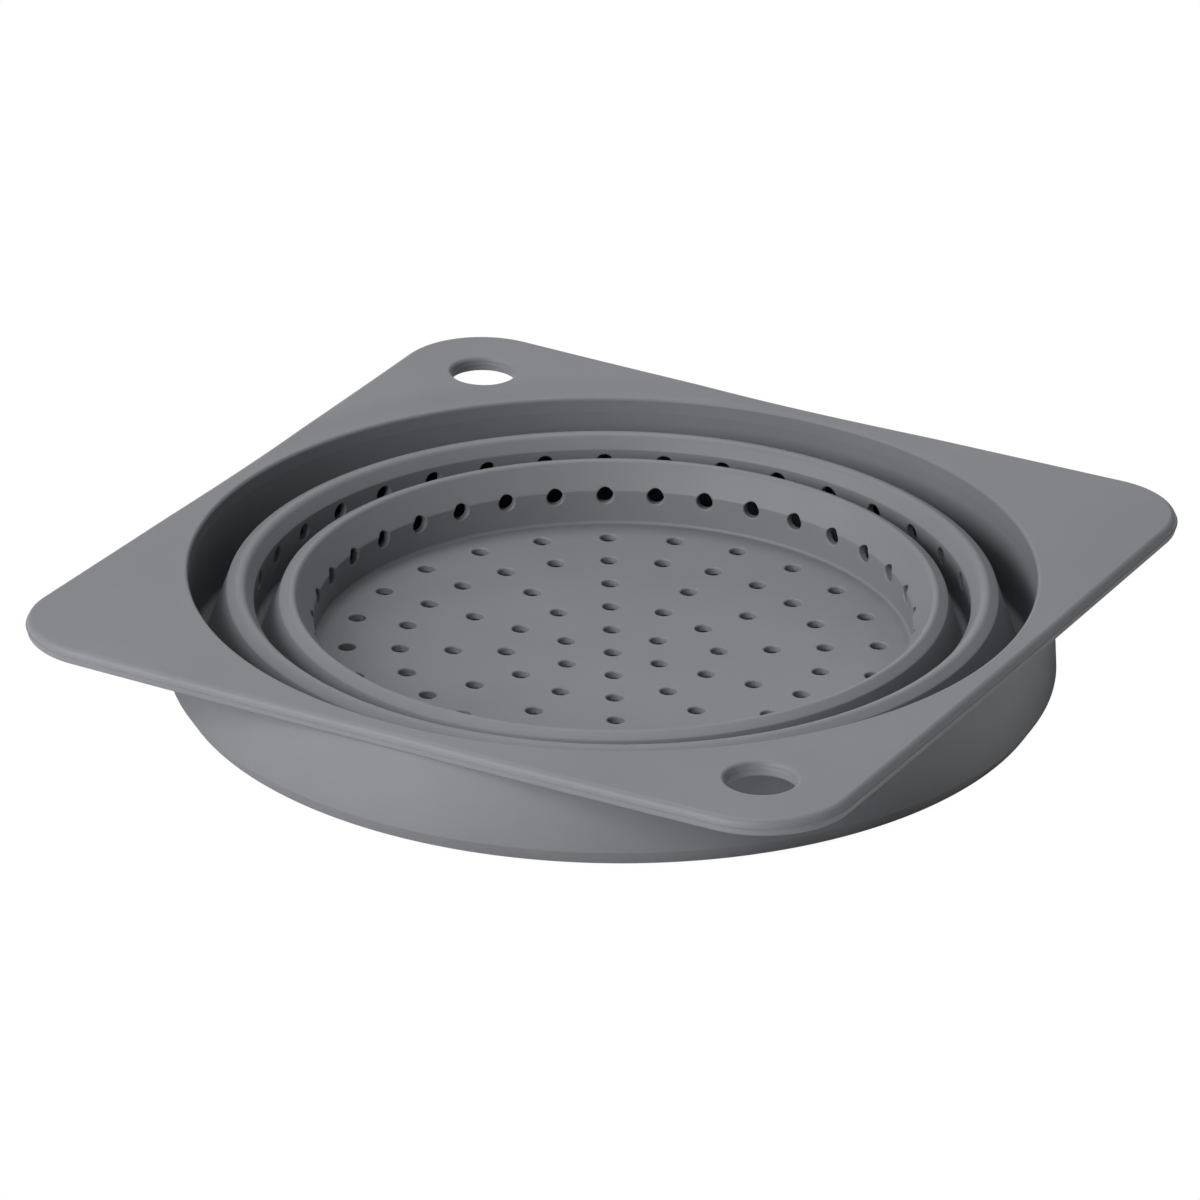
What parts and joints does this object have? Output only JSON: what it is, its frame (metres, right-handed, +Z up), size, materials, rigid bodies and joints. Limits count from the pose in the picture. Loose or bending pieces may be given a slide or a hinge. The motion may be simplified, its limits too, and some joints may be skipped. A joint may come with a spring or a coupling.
{
  "type": "collapsible colander",
  "caption": "Square-rimmed silicone colander that folds flat, with a perforated dished base, perforated tier walls and corner hanging holes.",
  "frame": {"origin": "middle of the foot's flat underside, on the surface the folded colander stands on; unfolded, the base stands there and the middle tier and the rim rise", "axes": "+Z up through the middle of the bowl; X and Y along the sides of the square rim; the hanging holes are in the corners (-X, +Y) and (+X, -Y)"},
  "size_m": [0.24, 0.24, 0.03],
  "materials": {
    "silicone_rim": "matte moulded silicone",
    "silicone_wall": "matte moulded silicone",
    "silicone_web": "matte moulded silicone, thin and flexible",
    "silicone_tier": "matte moulded silicone",
    "ring_steel": "drawn stainless wire, moulded in"
  },
  "bodies": {
    "inner_tier": {"base": "silicone_tier", "inner_wall": "silicone_tier", "inner_lip": "silicone_tier"},
    "middle_tier": {"inner_web": "silicone_web", "middle_fold": "silicone_tier", "middle_wall": "silicone_tier", "middle_lip": "silicone_tier"},
    "rim_frame": {"outer_web": "silicone_web", "foot": "silicone_wall", "outer_wall": "silicone_wall", "rim": "silicone_rim", "rim_ring": "ring_steel"}
  },
  "joints": [
    {"name": "inner_pop", "type": "slide", "parent": "inner_tier", "child": "middle_tier", "axis": [0, 0, 1], "range_m": [0, 0.0211], "deforming": ["inner_web"]},
    {"name": "middle_pop", "type": "slide", "parent": "middle_tier", "child": "rim_frame", "axis": [0, 0, 1], "range_m": [0, 0.0355], "deforming": ["outer_web"]}
  ]
}
